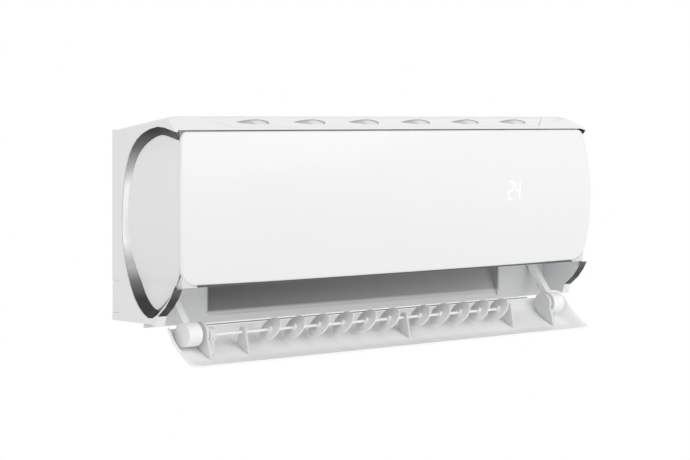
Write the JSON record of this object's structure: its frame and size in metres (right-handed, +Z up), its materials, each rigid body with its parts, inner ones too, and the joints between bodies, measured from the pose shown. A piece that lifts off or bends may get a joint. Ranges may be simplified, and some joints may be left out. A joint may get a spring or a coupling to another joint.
{
  "type": "mini split indoor unit",
  "caption": "Long white wall-hung air conditioner indoor unit with a barrelled front panel, bright end bands and an outlet louver that drops open on geared arms.",
  "frame": {"origin": "centre of the mounting plate's rear face, on the wall", "axes": "+Z up, +Y into the wall, +X towards the unit's right-hand end as seen from the room"},
  "size_m": [0.95, 0.1825, 0.3826],
  "materials": {
    "white_housing": "smooth white, semi-gloss",
    "white_louver": "smooth white, semi-gloss",
    "soft_white_moulding": "fine matt white",
    "grey_moulding": "matt mid-grey",
    "bright_band": "bright plated",
    "galvanised_sheet": "zinc-coated sheet",
    "coil_fins": "bare fin stock",
    "copper_tube": "bare copper",
    "flare_brass": "machined",
    "black_plastic": "matt black",
    "rubber_black": "soft black",
    "circuit_board": "green board",
    "filter_mesh": "dark woven mesh"
  },
  "bodies": {
    "housing": {"mounting_plate": "galvanised_sheet", "chassis": "soft_white_moulding", "outer_casing": "white_housing", "top_grille": "white_housing", "top_fascia": "white_housing", "end_cheek_left": "white_housing", "end_cheek_right": "white_housing", "side_band_left": "bright_band", "side_band_right": "bright_band", "corner_filler_left": "soft_white_moulding", "corner_filler_right": "soft_white_moulding", "knockout_cover_left": "white_housing", "knockout_cover_right": "white_housing", "lower_trim_strip": "bright_band", "outlet_housing": "soft_white_moulding", "drain_pan": "grey_moulding", "drain_spigot": "grey_moulding", "evaporator_front": "coil_fins", "evaporator_top": "coil_fins", "evaporator_rear": "coil_fins", "coil_end_plate_left": "galvanised_sheet", "coil_end_plate_right": "galvanised_sheet", "coil_header": "copper_tube", "return_bends": "copper_tube", "gas_pipe": "copper_tube", "liquid_pipe": "copper_tube", "flare_nut_gas": "flare_brass", "flare_nut_liquid": "flare_brass", "air_filter_left": "filter_mesh", "air_filter_right": "filter_mesh", "fan_bearing": "rubber_black", "fan_motor": "soft_white_moulding", "motor_clamp": "galvanised_sheet", "electrical_box": "soft_white_moulding", "electrical_box_lid": "galvanised_sheet", "control_board": "circuit_board", "terminal_block": "black_plastic", "arm_motor_left": "galvanised_sheet", "arm_motor_right": "galvanised_sheet", "arm_guide_left": "soft_white_moulding", "arm_guide_right": "soft_white_moulding"},
    "front_panel": {"front_panel": "white_housing", "display_board": "circuit_board"},
    "fan": {"cross_flow_fan": "black_plastic"},
    "arm_left": {"louver_arm_left": "white_louver"},
    "arm_right": {"louver_arm_right": "white_louver"},
    "pinion_left": {"arm_pinion_left": "soft_white_moulding"},
    "pinion_right": {"arm_pinion_right": "soft_white_moulding"},
    "louver": {"louver": "white_louver", "louver_seal": "rubber_black", "louver_ear_left": "soft_white_moulding", "louver_ear_right": "soft_white_moulding", "vane_motor": "soft_white_moulding", "shaft_support_left": "soft_white_moulding", "shaft_support_centre": "soft_white_moulding", "shaft_support_right": "soft_white_moulding"},
    "vanes": {"vane_shaft": "white_louver"},
    "button": {"emergency_button": "white_housing"}
  },
  "joints": [
    {"name": "panel_hinge", "type": "hinge", "parent": "housing", "child": "front_panel", "pos_m": [0, -0.157, 0.133], "axis": [-1, 0, 0], "range_deg": [0, 50]},
    {"name": "fan_spin", "type": "hinge", "parent": "housing", "child": "fan", "pos_m": [0, -0.076, -0.028], "axis": [1, 0, 0], "continuous": true},
    {"name": "arm_left_slide", "type": "slide", "parent": "housing", "child": "arm_left", "axis": [0, 0.6088, 0.7934], "range_m": [0, 0.052]},
    {"name": "arm_right_slide", "type": "slide", "parent": "housing", "child": "arm_right", "axis": [0, 0.6088, 0.7934], "range_m": [0, 0.052]},
    {"name": "pinion_left_spin", "type": "hinge", "parent": "housing", "child": "pinion_left", "pos_m": [-0.418, -0.04877, -0.1031], "axis": [-1, 0, 0], "range_deg": [0, 398]},
    {"name": "pinion_right_spin", "type": "hinge", "parent": "housing", "child": "pinion_right", "pos_m": [0.418, -0.04877, -0.1031], "axis": [-1, 0, 0], "range_deg": [0, 398]},
    {"name": "louver_tilt", "type": "hinge", "parent": "arm_left", "child": "louver", "pos_m": [-0.418, -0.122, -0.178], "axis": [-1, 0, 0], "range_deg": [0, 62.5]},
    {"name": "vane_swing", "type": "hinge", "parent": "louver", "child": "vanes", "pos_m": [0, -0.13, -0.18], "axis": [1, 0, 0], "range_deg": [-90, 90]},
    {"name": "button_press", "type": "slide", "parent": "housing", "child": "button", "axis": [0, 1, 0], "range_m": [0, 0.002], "stiffness_N_per_m": 400}
  ],
  "couplings": [
    {"joint": "arm_right_slide", "follows": "arm_left_slide", "ratio": 1},
    {"joint": "pinion_left_spin", "follows": "arm_left_slide", "rad_per_m": 133.33},
    {"joint": "pinion_right_spin", "follows": "arm_left_slide", "rad_per_m": 133.33},
    {"joint": "louver_tilt", "follows": "arm_left_slide", "rad_per_m": 20.944}
  ]
}
